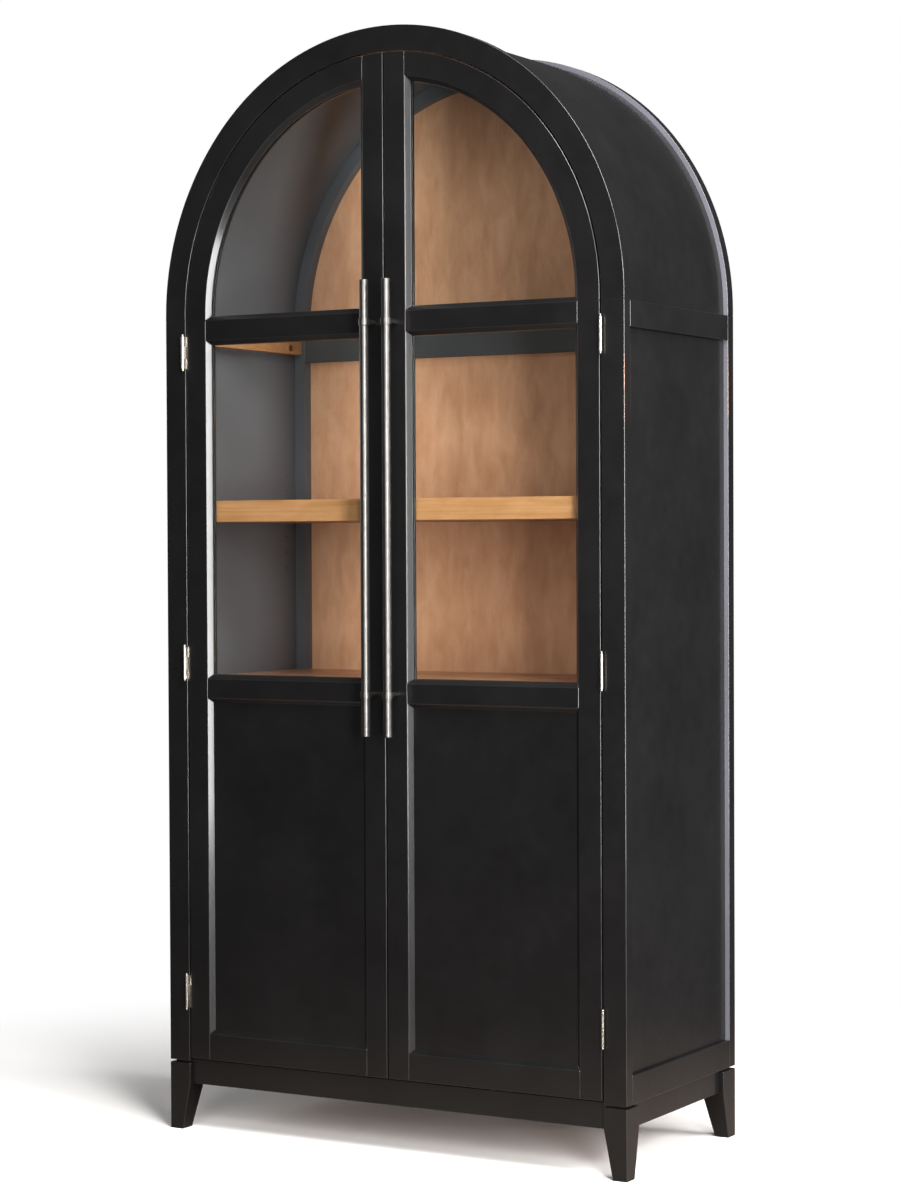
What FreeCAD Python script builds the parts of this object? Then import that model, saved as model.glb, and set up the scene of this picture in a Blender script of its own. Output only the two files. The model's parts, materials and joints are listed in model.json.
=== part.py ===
import FreeCAD, Part

# Arched display cabinet: a lacquered case on four tapered legs, a hood with a
# three-centred arch, and two glazed doors on butt hinges with long bar pulls.
# Millimetres. +Z up, +X to the right, the doors face -Y. The origin is the
# bottom centre of the whole object, its door pulls included.

import math
import os
from FreeCAD import Vector

# ---- case -------------------------------------------------------------
WIDTH = 1011.0
HEIGHT = 2134.0
CASE_DEPTH = 473.0
HALF = WIDTH / 2
SEAM = 1596.5                 # the hood stands on the lower case here
SPRING = 1607.6               # where the straight sides turn into the arch
SIDE_RADIUS = 545.0           # radius of the arch's two flat side arcs
STILE_WIDTH = 47.0            # stiles and arch rings, seen from the front
STILE_DEPTH = 25.0            # the same pieces, seen from the side
RECESS = 9.0                  # panels and aprons stand back from the frame
PANEL_BOARD = 12.0
REAR_INNER_DEPTH = 42.0       # inside part of the rear stiles
BACK_BOARD = 6.0
BACK_RECESS = 13.0            # the back boards lie this far in from the rear
BACK_LAP = 12.5               # how far the back boards lap onto the rear frame

# ---- base -------------------------------------------------------------
LEG_TOP = 132.0
STILE_BOTTOM = 137.0
APRON_BOTTOM = 91.0
APRON_TOP = 140.0
APRON_DEPTH = 21.0
FRONT_LEG_DEPTH = 50.0
REAR_LEG_DEPTH = 55.0
FOOT_WIDTH = 29.0
FOOT_DEPTH = 32.0

# ---- boards inside ----------------------------------------------------
BOARD = 20.0
SIDE_RAIL_UPPER = 48.0
SIDE_RAIL_LOWER_TOP = 190.0
BOTTOM_BOARD_TOP = APRON_TOP + BOARD
DECK_TOP = 895.0
SHELF_BOTTOM = 1202.0
SHELF_THICKNESS = 42.0
SHELF_FRONT = 30.0
CUPBOARD_SHELF_BOTTOM = 520.0
CUPBOARD_SHELF_FRONT = 45.0
SHELF_END_GAP = 2.5
REAR_RAIL_BOTTOM = 1539.0
HOOD_RAIL_TOP = 1630.0
CLEAT_BOTTOM = 1555.0
CLEAT_TOP = 1606.0
CLEAT_THICKNESS = 19.0
PIN_PITCH = 32.2
PIN_COLUMNS = (65.0, 397.0)
PIN_RADIUS = 2.5
PIN_ABOVE_LEDGE = 3.0
PIN_HOLE_DEPTH = 8.0
PINS_ABOVE_DISPLAY = 3        # spare pin holes above and below each shelf
PINS_ABOVE_CUPBOARD = 2
SHELF_PLAY = 2.0
SUPPORT_PLATE = 1.5
SUPPORT_LEDGE = 2.0
SUPPORT_HALF_WIDTH = 6.0
SUPPORT_RISE = 9.0
SUPPORT_REACH = 13.0
PEG_SHORT = 0.5               # the peg stops this far from the hole's bottom
HOOD_BOLT_DEPTHS = (85.0, 388.0)
HOOD_BOLT_RISE = 12.0
HOOD_BOLT_RADIUS = 3.0
HOOD_BOLT_LENGTH = 32.0
HOOD_BOLT_HEAD_RADIUS = 6.5
HOOD_BOLT_HEAD = 2.0
SOCKET_RADIUS = 2.5
SOCKET_DEPTH = 1.6
CATCH_SPAN = (66.0, 102.0)    # across each cupboard door, from the middle
CATCH_DEPTHS = (24.5, 44.0)
CATCH_HEIGHT = 14.0
CATCH_EASE = 1.5
STRIKE_SPAN = (70.0, 98.0)
STRIKE_HEIGHTS = (862.0, 874.0)
STRIKE = 1.2

# ---- doors ------------------------------------------------------------
GAP = 3.0
DOOR_THICKNESS = 22.0
DOOR_BOTTOM = 143.0
DOOR_STILE = 45.0             # flat width, before the bevel
BEVEL = 9.0
BOTTOM_RAIL_TOP = 194.0
LOCK_RAIL = (856.5, 894.0)
MID_RAIL = (1557.7, SEAM)
GLASS_DEPTH = 11.5
GLASS = 4.0
DOOR_PANEL = 8.0
EDGE_PLAY = 1.0
DOOR_INNER = GAP / 2
DOOR_OUTER = HALF - STILE_WIDTH - GAP
FLAT_INNER = DOOR_INNER + DOOR_STILE
FLAT_OUTER = DOOR_OUTER - DOOR_STILE
DOOR_ARCH = STILE_WIDTH + GAP + DOOR_STILE

# ---- pulls ------------------------------------------------------------
PULL_RADIUS = 8.5
PULL_REACH = 34.0             # door face to the bar's axis
PULL_X = 24.2
PULL_ENDS = (794.0, 1655.0)
POST_HEIGHTS = (873.0, 1575.0)
POST_RADIUS = 5.5
COLLAR_RADIUS = 10.6
COLLAR_HEIGHT = 11.5
BOLT_RADIUS = 2.5
POST_THREAD = 14.0            # depth of the tapped hole in a pull's post
THREAD_END = 1.0              # a bolt stops this far from the hole's end
BOLT_HEAD_RADIUS = 4.5
BOLT_HEAD = 2.0
BAR_EASE = 0.8
SLIP = 0.05                   # radial play round pins, bolts and screws

# ---- hinges -----------------------------------------------------------
HINGE_HEIGHTS = (275.0, 925.0, 1535.0)
HINGE_LENGTH = 63.4
KNUCKLE_RADIUS = 3.0
KNUCKLE_GAP = 0.6             # between one knuckle and the next
MIDDLE_KNUCKLE = 26.0
HINGE_REACH = 6.5             # the hinge axis stands this far before the doors
HINGE_SHIFT = 3.5             # and this far outward from the middle of the gap
HINGE_PIN_RADIUS = 1.5
FINIAL_RADIUS = 2.2
FINIAL_NECK = 0.5
LEAF = 1.35
LEAF_GAP = 0.3                # between a hinge's two closed leaves
LEAF_FRONT = 0.35
LEAF_BACK = 20.0
SCREW_RADIUS = 1.6
SCREW_HEAD_RADIUS = 3.1
SCREW_LENGTH = 14.0
SCREW_SPREAD = 23.0           # the outer screws of a leaf, from its middle
SCREW_DEPTHS = (7.5, 14.0)    # outer screws, middle screw
LEAF_X = HALF - STILE_WIDTH - GAP / 2
HINGE_X = LEAF_X + HINGE_SHIFT

# ---- derived ----------------------------------------------------------
FRONT_REACH = PULL_REACH + COLLAR_RADIUS
FACE_Y = FRONT_REACH - (CASE_DEPTH + FRONT_REACH) / 2
RISE = HEIGHT - SPRING
CENTRE_SHIFT = SIDE_RADIUS - HALF
TOP_RADIUS = ((SIDE_RADIUS ** 2 - CENTRE_SHIFT ** 2 - RISE ** 2)
              / (2 * (SIDE_RADIUS - RISE)))
TOP_CENTRE = HEIGHT - TOP_RADIUS
JOIN_ANGLE = math.atan2(TOP_CENTRE - SPRING, CENTRE_SHIFT)
PANEL_INNER = HALF - RECESS - PANEL_BOARD
INNER_OFFSET = RECESS + PANEL_BOARD
REAR_FRONT = CASE_DEPTH - REAR_INNER_DEPTH
BACK_FACE = CASE_DEPTH - BACK_RECESS - BACK_BOARD
BACK_OFFSET = STILE_WIDTH - BACK_LAP
FRAME_INNER = HALF - STILE_WIDTH
TALL = HEIGHT + 10.0


def save(name, *solids):
    shape = solids[0] if len(solids) == 1 else Part.makeCompound(list(solids))
    shape.exportStep("parts/%s.step" % name)


def save_pair(name, *solids):
    """Save the right-hand piece, and its mirror image as the left-hand one."""
    save(name + "_right", *solids)
    save(name + "_left", *[mirrored(s) for s in solids])


def mirrored(shape):
    return shape.mirror(Vector(0, 0, 0), Vector(1, 0, 0))


def with_mirror(solids):
    return list(solids) + [mirrored(s) for s in solids]


def block(x0, x1, d0, d1, z0, z1):
    """A box; d0 and d1 are depths behind the door face."""
    return Part.makeBox(x1 - x0, d1 - d0, z1 - z0, Vector(x0, FACE_Y + d0, z0))


def polygon(points, depth):
    corners = [Vector(x, FACE_Y + depth, z) for x, z in points]
    return Part.makePolygon(corners + corners[:1])


def prism(wire, thickness):
    return Part.Face(wire).extrude(Vector(0, thickness, 0))


def rod(x, depth, z, radius, length, direction):
    return Part.makeCylinder(radius, length, Vector(x, FACE_Y + depth, z), direction)


def arch_point(offset, angle, side, depth):
    """A point on a side arc; angle 0 is the spring, side is -1 or +1."""
    radius = SIDE_RADIUS - offset
    x = side * (radius * math.cos(angle) - CENTRE_SHIFT)
    return Vector(x, FACE_Y + depth, SPRING + radius * math.sin(angle))


def arch_wire(offset, bottom, depth):
    """The closed outline of the arch, set in by offset, down to bottom."""
    half = HALF - offset
    y = FACE_Y + depth
    foot_right = Vector(half, y, bottom)
    foot_left = Vector(-half, y, bottom)
    spring_right = arch_point(offset, 0, 1, depth)
    spring_left = arch_point(offset, 0, -1, depth)
    join_right = arch_point(offset, JOIN_ANGLE, 1, depth)
    join_left = arch_point(offset, JOIN_ANGLE, -1, depth)
    mid_right = arch_point(offset, JOIN_ANGLE / 2, 1, depth)
    mid_left = arch_point(offset, JOIN_ANGLE / 2, -1, depth)
    crown = Vector(0, y, HEIGHT - offset)
    return Part.Wire([
        Part.LineSegment(foot_left, foot_right).toShape(),
        Part.LineSegment(foot_right, spring_right).toShape(),
        Part.Arc(spring_right, mid_right, join_right).toShape(),
        Part.Arc(join_right, crown, join_left).toShape(),
        Part.Arc(join_left, mid_left, spring_left).toShape(),
        Part.LineSegment(spring_left, foot_left).toShape()])


def arch_slab(offset, bottom, d0, d1):
    return prism(arch_wire(offset, bottom, d0), d1 - d0)


def arch_ring(outer, inner, d0, d1):
    """A ring of the arch between two offsets, standing on the seam."""
    return arch_slab(outer, SEAM, d0, d1).cut(arch_slab(inner, SEAM - 1, d0 - 1, d1 + 1))


def right_half(shape):
    return shape.common(block(0, WIDTH, -100, CASE_DEPTH + 100, 0, TALL))


# ---- the face frame ---------------------------------------------------
def hinge_screw_places():
    """Depth and height of each hinge screw, staggered on the leaf."""
    outer, middle = SCREW_DEPTHS
    places = []
    for height in HINGE_HEIGHTS:
        places += [(outer, height - SCREW_SPREAD), (middle, height),
                   (outer, height + SCREW_SPREAD)]
    return places


def screw(depth, z, direction, clearance=0.0):
    """A countersunk screw driven along X from its leaf's inner face."""
    start = LEAF_X + direction * LEAF_GAP / 2
    axis = Vector(direction, 0, 0)
    head = Part.makeCone(SCREW_HEAD_RADIUS + clearance, SCREW_RADIUS + clearance,
                         LEAF, Vector(start, FACE_Y + depth, z), axis)
    shank = rod(start + direction * LEAF, depth, z, SCREW_RADIUS + clearance,
                SCREW_LENGTH + clearance, axis)
    return head.fuse(shank)


def face_stile():
    stile = block(FRAME_INNER, HALF, 0, STILE_DEPTH, STILE_BOTTOM, SEAM)
    holes = [screw(d, z, 1, SLIP) for d, z in hinge_screw_places()]
    return stile.cut(holes)


def rear_section(slab):
    """The rear frame's section, from a slab(outer, inner, d0, d1) maker."""
    body = slab(0, STILE_WIDTH, CASE_DEPTH - STILE_DEPTH, BACK_FACE)
    inside = slab(INNER_OFFSET, STILE_WIDTH, REAR_FRONT, CASE_DEPTH - STILE_DEPTH)
    rear = slab(0, BACK_OFFSET, BACK_FACE, CASE_DEPTH)
    return body.fuse([inside, rear]).removeSplitter()


def rear_stile():
    return rear_section(lambda outer, inner, d0, d1: block(
        HALF - inner, HALF - outer, d0, d1, STILE_BOTTOM, SEAM))


def build_frame():
    save_pair("face_stile", face_stile())
    save_pair("face_arch", right_half(arch_ring(0, STILE_WIDTH, 0, STILE_DEPTH)))
    save_pair("rear_stile", rear_stile())
    save_pair("rear_arch", right_half(rear_section(arch_ring)))
    rear_rails = [
        block(-FRAME_INNER, FRAME_INNER, REAR_FRONT, BACK_FACE, REAR_RAIL_BOTTOM, SEAM),
        block(-FRAME_INNER, FRAME_INNER, REAR_FRONT, BACK_FACE,
              STILE_BOTTOM, SIDE_RAIL_LOWER_TOP),
        block(-HALF, HALF, REAR_FRONT, BACK_FACE, SEAM, HOOD_RAIL_TOP).common(
            arch_slab(STILE_WIDTH, SEAM, REAR_FRONT, BACK_FACE))]
    save("rear_rails", *rear_rails)


# ---- sides, hood and back ---------------------------------------------
def pin_heights():
    display = SHELF_BOTTOM + PIN_ABOVE_LEDGE
    cupboard = CUPBOARD_SHELF_BOTTOM + PIN_ABOVE_LEDGE
    upper = range(-PINS_ABOVE_DISPLAY, PINS_ABOVE_DISPLAY + 1)
    lower = range(-PINS_ABOVE_CUPBOARD, PINS_ABOVE_CUPBOARD + 1)
    return ([display + k * PIN_PITCH for k in upper]
            + [cupboard + k * PIN_PITCH for k in lower])


def side_panel():
    panel = block(PANEL_INNER, HALF - RECESS, STILE_DEPTH, CASE_DEPTH - STILE_DEPTH,
                  SIDE_RAIL_LOWER_TOP, SEAM - SIDE_RAIL_UPPER)
    holes = [rod(PANEL_INNER, depth, z, PIN_RADIUS + SLIP, PIN_HOLE_DEPTH, Vector(1, 0, 0))
             for depth in PIN_COLUMNS for z in pin_heights()]
    return panel.cut(holes)


def cleat_bolt(depth, clearance=0.0):
    """A connector bolt through a hood cleat into the upper side rail."""
    z = CLEAT_BOTTOM + HOOD_BOLT_RISE
    face = PANEL_INNER - CLEAT_THICKNESS
    axis = Vector(1, 0, 0)
    shank = rod(face, depth, z, HOOD_BOLT_RADIUS + clearance, HOOD_BOLT_LENGTH + clearance,
                axis)
    if clearance:
        return shank
    start = face - HOOD_BOLT_HEAD
    head = rod(start, depth, z, HOOD_BOLT_HEAD_RADIUS, HOOD_BOLT_HEAD, axis)
    return head.fuse(shank).cut(hex_socket(start, depth, z, SOCKET_RADIUS, SOCKET_DEPTH))


def hex_socket(x, depth, z, radius, length):
    corners = [Vector(x, FACE_Y + depth + radius * math.cos(k * math.pi / 3),
                      z + radius * math.sin(k * math.pi / 3)) for k in range(6)]
    face = Part.Face(Part.makePolygon(corners + corners[:1]))
    return face.extrude(Vector(length, 0, 0))


def build_skins():
    save_pair("side_panel", side_panel())
    side_depths = (STILE_DEPTH, CASE_DEPTH - STILE_DEPTH)
    upper = block(PANEL_INNER, HALF, *side_depths, SEAM - SIDE_RAIL_UPPER, SEAM)
    upper = upper.cut([cleat_bolt(d, SLIP) for d in HOOD_BOLT_DEPTHS])
    lower = block(PANEL_INNER, HALF, *side_depths, STILE_BOTTOM, SIDE_RAIL_LOWER_TOP)
    save_pair("side_rails", upper, lower)
    cleat = block(PANEL_INNER - CLEAT_THICKNESS, PANEL_INNER, STILE_DEPTH, REAR_FRONT,
                  CLEAT_BOTTOM, CLEAT_TOP)
    cleat = cleat.cut([cleat_bolt(d, SLIP) for d in HOOD_BOLT_DEPTHS])
    save("hood_cleats", *with_mirror([cleat]))
    save("hood_bolts", *with_mirror([cleat_bolt(d) for d in HOOD_BOLT_DEPTHS]))
    save("hood_panel", arch_ring(RECESS, INNER_OFFSET, *side_depths))
    back_half = HALF - BACK_OFFSET
    save("back_panel_upper", arch_slab(BACK_OFFSET, SEAM, BACK_FACE, BACK_FACE + BACK_BOARD))
    save("back_panel_lower", block(-back_half, back_half, BACK_FACE, BACK_FACE + BACK_BOARD,
                                   STILE_BOTTOM, SEAM))


# ---- base -------------------------------------------------------------
def leg(outer_depth, inner_depth):
    """A right-hand leg: square at the top, tapered on its two inner faces."""
    toward = 1 if inner_depth > outer_depth else -1
    d0, d1 = sorted((outer_depth, inner_depth))
    top = block(FRAME_INNER, HALF, d0, d1, APRON_BOTTOM, LEG_TOP)
    neck_outer = outer_depth + toward * RECESS
    n0, n1 = sorted((neck_outer, inner_depth))
    neck = block(FRAME_INNER, HALF - RECESS, n0, n1, LEG_TOP, STILE_BOTTOM)

    def section(width, depth, z):
        y0 = FACE_Y + outer_depth
        y1 = y0 + toward * depth
        corners = [Vector(HALF, y0, z), Vector(HALF, y1, z),
                   Vector(HALF - width, y1, z), Vector(HALF - width, y0, z)]
        return Part.makePolygon(corners + corners[:1])

    taper = Part.makeLoft([section(FOOT_WIDTH, FOOT_DEPTH, 0.0),
                           section(STILE_WIDTH, abs(inner_depth - outer_depth), APRON_BOTTOM)],
                          True, True)
    return top.fuse([neck, taper]).removeSplitter()


def build_base():
    save("front_legs", *with_mirror([leg(0.0, FRONT_LEG_DEPTH)]))
    save("rear_legs", *with_mirror([leg(CASE_DEPTH, CASE_DEPTH - REAR_LEG_DEPTH)]))
    save("front_apron", block(-FRAME_INNER, FRAME_INNER, RECESS, RECESS + APRON_DEPTH,
                              APRON_BOTTOM, APRON_TOP))
    rear = CASE_DEPTH - RECESS
    save("rear_apron", block(-FRAME_INNER, FRAME_INNER, rear - APRON_DEPTH, rear,
                             APRON_BOTTOM, STILE_BOTTOM))
    side = block(HALF - RECESS - APRON_DEPTH, HALF - RECESS, FRONT_LEG_DEPTH,
                 CASE_DEPTH - REAR_LEG_DEPTH, APRON_BOTTOM, STILE_BOTTOM)
    save("side_aprons", *with_mirror([side]))


# ---- boards and shelves -----------------------------------------------
def notched_board(half, front, bottom, thickness, play=0.0):
    """A board that reaches back between the rear stiles to the back boards."""
    wide = block(-half, half, front, REAR_FRONT - play, bottom, bottom + thickness)
    inner = FRAME_INNER - play
    tongue = block(-inner, inner, REAR_FRONT - play, BACK_FACE - play,
                   bottom, bottom + thickness)
    return wide.fuse(tongue).removeSplitter()


def shelf_support(depth, ledge_top):
    """A peg with an angle plate, for a right-hand end of a shelf."""
    front = depth - SUPPORT_HALF_WIDTH
    back = depth + SUPPORT_HALF_WIDTH
    low = ledge_top - SUPPORT_LEDGE
    plate = block(PANEL_INNER - SUPPORT_PLATE, PANEL_INNER, front, back,
                  low, ledge_top + SUPPORT_RISE)
    ledge = block(PANEL_INNER - SUPPORT_REACH, PANEL_INNER - SUPPORT_PLATE, front, back,
                  low, ledge_top)
    peg = rod(PANEL_INNER, depth, ledge_top + PIN_ABOVE_LEDGE, PIN_RADIUS,
              PIN_HOLE_DEPTH - PEG_SHORT, Vector(1, 0, 0))
    return plate.fuse([ledge, peg]).removeSplitter()


def build_boards():
    save("bottom_board", block(-PANEL_INNER, PANEL_INNER, STILE_DEPTH, REAR_FRONT,
                               APRON_TOP, BOTTOM_BOARD_TOP))
    save("deck", notched_board(PANEL_INNER, STILE_DEPTH, DECK_TOP - BOARD, BOARD))
    half = PANEL_INNER - SHELF_END_GAP
    save("display_shelf", notched_board(half, SHELF_FRONT, SHELF_BOTTOM, SHELF_THICKNESS,
                                        SHELF_PLAY))
    save("cupboard_shelf", notched_board(half, CUPBOARD_SHELF_FRONT, CUPBOARD_SHELF_BOTTOM,
                                         BOARD, SHELF_PLAY))
    supports = [shelf_support(depth, ledge) for depth in PIN_COLUMNS
                for ledge in (SHELF_BOTTOM, CUPBOARD_SHELF_BOTTOM)]
    save("shelf_supports", *with_mirror(supports))
    under_deck = DECK_TOP - BOARD
    catch = block(*CATCH_SPAN, *CATCH_DEPTHS, under_deck - CATCH_HEIGHT, under_deck)
    catch = catch.makeChamfer(CATCH_EASE, [e for e in catch.Edges
                                           if e.BoundBox.ZMax < under_deck - 1])
    save("magnetic_catches", *with_mirror([catch]))


# ---- doors ------------------------------------------------------------
def panel_opening(low, high, inset, d0, d1):
    """A square-cornered opening; inset 0 is the flat edge, BEVEL the sight edge."""
    return block(FLAT_INNER + inset, FLAT_OUTER - inset, d0, d1, low + inset, high - inset)


def arch_opening(inset, d0, d1):
    shape = arch_slab(DOOR_ARCH + inset, SEAM + inset, d0, d1)
    return shape.common(block(FLAT_INNER + inset, WIDTH, d0 - 1, d1 + 1, SEAM, TALL))


def openings(inset, d0, d1):
    """The cupboard panel, the window and the arched light, bottom to top."""
    return [panel_opening(BOTTOM_RAIL_TOP, LOCK_RAIL[0], inset, d0, d1),
            panel_opening(LOCK_RAIL[1], MID_RAIL[0], inset, d0, d1),
            arch_opening(inset, d0, d1)]


def door_frame():
    outline = arch_slab(STILE_WIDTH + GAP, DOOR_BOTTOM, 0, DOOR_THICKNESS)
    frame = outline.common(block(DOOR_INNER, WIDTH, -1, DOOR_THICKNESS + 1, 0, TALL))
    sights = openings(BEVEL, -1, DOOR_THICKNESS + 1)
    frame = frame.cut(sights)

    def on_sight_edge(edge):
        box = edge.BoundBox
        if box.YMax > FACE_Y + 0.01:
            return False
        middle = edge.valueAt((edge.FirstParameter + edge.LastParameter) / 2)
        return any(s.distToShape(Part.Vertex(middle))[0] < 0.01 for s in sights)

    frame = frame.makeChamfer(BEVEL, [e for e in frame.Edges if on_sight_edge(e)])
    rebates = openings(0.0, GLASS_DEPTH, DOOR_THICKNESS + 1)
    rebates[0] = openings(0.0, BEVEL, DOOR_THICKNESS + 1)[0]
    pull_holes = [rod(PULL_X, -1, z, BOLT_RADIUS + SLIP, DOOR_THICKNESS + 2, Vector(0, 1, 0))
                  for z in POST_HEIGHTS]
    screw_holes = [screw(d, z, -1, SLIP) for d, z in hinge_screw_places()]
    return frame.cut(rebates + pull_holes + screw_holes)


def rail_region(low, high):
    """The outline of a rail: bevelled corners where it meets the stiles."""
    return prism(polygon([
        (FLAT_INNER, low), (FLAT_INNER + BEVEL, low - BEVEL),
        (FLAT_OUTER - BEVEL, low - BEVEL), (FLAT_OUTER, low),
        (FLAT_OUTER, high), (FLAT_OUTER - BEVEL, high + BEVEL),
        (FLAT_INNER + BEVEL, high + BEVEL), (FLAT_INNER, high)], -1), DOOR_THICKNESS + 2)


def bottom_rail_region():
    low = DOOR_BOTTOM - 1
    high = BOTTOM_RAIL_TOP
    return prism(polygon([
        (FLAT_INNER, low), (FLAT_OUTER, low), (FLAT_OUTER, high),
        (FLAT_OUTER - BEVEL, high + BEVEL), (FLAT_INNER + BEVEL, high + BEVEL),
        (FLAT_INNER, high)], -1), DOOR_THICKNESS + 2)


def arch_top_at(x, offset):
    """Height of the arch's crown arc, set in by offset, at x."""
    return TOP_CENTRE + math.sqrt((TOP_RADIUS - offset) ** 2 - x ** 2)


def door_pieces():
    frame = door_frame()
    rails = {"bottom_rail": bottom_rail_region(), "lock_rail": rail_region(*LOCK_RAIL),
             "mid_rail": rail_region(*MID_RAIL)}
    pieces = {name: frame.common(region) for name, region in rails.items()}
    rest = frame.cut(list(rails.values()))
    edge = FLAT_INNER + BEVEL
    meeting = [(0, 0), (FLAT_INNER, 0), (FLAT_INNER, BOTTOM_RAIL_TOP),
               (edge, BOTTOM_RAIL_TOP + BEVEL), (edge, SEAM + BEVEL),
               (edge, arch_top_at(edge, DOOR_ARCH + BEVEL)),
               (FLAT_INNER, arch_top_at(FLAT_INNER, DOOR_ARCH)),
               (FLAT_INNER, TALL), (0, TALL)]
    meeting_region = prism(polygon(meeting, -1), DOOR_THICKNESS + 2)
    pieces["meeting_stile"] = rest.common(meeting_region)
    rest = rest.cut(meeting_region)
    lower = block(0, WIDTH, -1, DOOR_THICKNESS + 1, 0, SEAM)
    pieces["hinge_stile"] = rest.common(lower)
    pieces["arch_rail"] = rest.cut(lower)
    return pieces


def door_infill():
    back = DOOR_THICKNESS
    panel = panel_opening(BOTTOM_RAIL_TOP + EDGE_PLAY, LOCK_RAIL[0] - EDGE_PLAY, 0.0,
                          BEVEL, BEVEL + DOOR_PANEL)
    panel = panel.common(block(FLAT_INNER + EDGE_PLAY, FLAT_OUTER - EDGE_PLAY,
                               0, back, 0, TALL))
    glass_back = GLASS_DEPTH + GLASS
    _, window, arch = openings(EDGE_PLAY, GLASS_DEPTH, glass_back)
    starts = [BEVEL + DOOR_PANEL, glass_back, glass_back]
    beads = []
    for index, start in enumerate(starts):
        outer = openings(0.0, start, back)[index]
        beads.append(outer.cut(openings(BEVEL, start - 1, back + 1)[index]))
    return {"panel": [panel], "window_glass": [window], "arch_glass": [arch],
            "beads": beads}


def pull_bar():
    low, high = PULL_ENDS
    bar = rod(PULL_X, -PULL_REACH, low, PULL_RADIUS, high - low, Vector(0, 0, 1))
    ends = [e for e in bar.Edges if e.BoundBox.ZLength < 0.01]
    return bar.makeChamfer(BAR_EASE, ends)


def pull_post(z):
    collar = rod(PULL_X, -PULL_REACH, z - COLLAR_HEIGHT / 2, COLLAR_RADIUS,
                 COLLAR_HEIGHT, Vector(0, 0, 1))
    post = rod(PULL_X, -PULL_REACH, z, POST_RADIUS, PULL_REACH, Vector(0, 1, 0))
    bore = rod(PULL_X, -PULL_REACH, z - COLLAR_HEIGHT, PULL_RADIUS + SLIP,
               2 * COLLAR_HEIGHT, Vector(0, 0, 1))
    thread = rod(PULL_X, -POST_THREAD, z, BOLT_RADIUS + SLIP, POST_THREAD, Vector(0, 1, 0))
    return collar.fuse(post).cut([bore, thread])


def pull_bolt(z):
    reach = POST_THREAD - THREAD_END
    shank = rod(PULL_X, -reach, z, BOLT_RADIUS, reach + DOOR_THICKNESS, Vector(0, 1, 0))
    head = rod(PULL_X, DOOR_THICKNESS, z, BOLT_HEAD_RADIUS, BOLT_HEAD, Vector(0, 1, 0))
    return shank.fuse(head)


def hinge_tab(x0, x1, reach_x, z0, z1):
    """Carries a leaf from the gap between door and frame forward to its knuckle."""
    front = FACE_Y - HINGE_REACH
    back = FACE_Y + LEAF_FRONT
    corners = [Vector(x0, back, z0), Vector(x1, back, z0), Vector(reach_x, front, z0),
               Vector(reach_x - LEAF, front, z0)]
    return Part.Face(Part.makePolygon(corners + corners[:1])).extrude(Vector(0, 0, z1 - z0))


def hinge_leaf(height, direction):
    """direction -1 is the door's leaf, with the middle knuckle; +1 the frame's."""
    low = height - HINGE_LENGTH / 2
    near = LEAF_X + direction * LEAF_GAP / 2
    x0, x1 = sorted((near, near + direction * LEAF))
    leaf = block(x0, x1, LEAF_FRONT, LEAF_BACK, low, low + HINGE_LENGTH)
    if direction < 0:
        spans = [(height - MIDDLE_KNUCKLE / 2, height + MIDDLE_KNUCKLE / 2)]
    else:
        inner = MIDDLE_KNUCKLE / 2 + KNUCKLE_GAP
        spans = [(low, height - inner), (height + inner, low + HINGE_LENGTH)]
    for z0, z1 in spans:
        barrel = rod(HINGE_X, -HINGE_REACH, z0, KNUCKLE_RADIUS, z1 - z0, Vector(0, 0, 1))
        reach_x = HINGE_X if direction < 0 else x1
        leaf = leaf.fuse([barrel, hinge_tab(x0, x1, reach_x, z0, z1)])
    bore = rod(HINGE_X, -HINGE_REACH, low - 1, HINGE_PIN_RADIUS + SLIP,
               HINGE_LENGTH + 2, Vector(0, 0, 1))
    holes = [screw(d, z, direction, SLIP) for d, z in hinge_screw_places()
             if abs(z - height) < HINGE_LENGTH]
    return leaf.cut([bore] + holes).removeSplitter()


def hinge_pin(height):
    """The pin of a hinge, with a ball on a short neck at each end."""
    reach = HINGE_LENGTH / 2 + FINIAL_NECK + FINIAL_RADIUS
    pin = rod(HINGE_X, -HINGE_REACH, height - reach, HINGE_PIN_RADIUS, 2 * reach,
              Vector(0, 0, 1))
    balls = [Part.makeSphere(FINIAL_RADIUS, Vector(HINGE_X, FACE_Y - HINGE_REACH,
                                                   height + side * reach))
             for side in (-1, 1)]
    return pin.fuse(balls).removeSplitter()


def build_doors():
    for name, piece in door_pieces().items():
        save_pair("door_" + name, piece)
    for name, solids in door_infill().items():
        save_pair("door_" + name, *solids)
    save_pair("pull_bar", pull_bar())
    save_pair("pull_posts", *[pull_post(z) for z in POST_HEIGHTS])
    strike = block(*STRIKE_SPAN, DOOR_THICKNESS, DOOR_THICKNESS + STRIKE, *STRIKE_HEIGHTS)
    fixings = ([pull_bolt(z) for z in POST_HEIGHTS]
               + [screw(d, z, -1) for d, z in hinge_screw_places()] + [strike])
    save_pair("door_fixings", *fixings)
    save_pair("door_hinge_leaves", *[hinge_leaf(z, -1) for z in HINGE_HEIGHTS])
    save("frame_hinge_leaves", *with_mirror([hinge_leaf(z, 1) for z in HINGE_HEIGHTS]))
    save("hinge_pins", *with_mirror([hinge_pin(z) for z in HINGE_HEIGHTS]))
    save("frame_hinge_screws", *with_mirror([screw(d, z, 1) for d, z in hinge_screw_places()]))


os.makedirs("parts", exist_ok=True)
build_frame()
build_skins()
build_base()
build_boards()
build_doors()
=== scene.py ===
import json
import math

import bmesh
import bpy
from mathutils import Matrix, Vector

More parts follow.
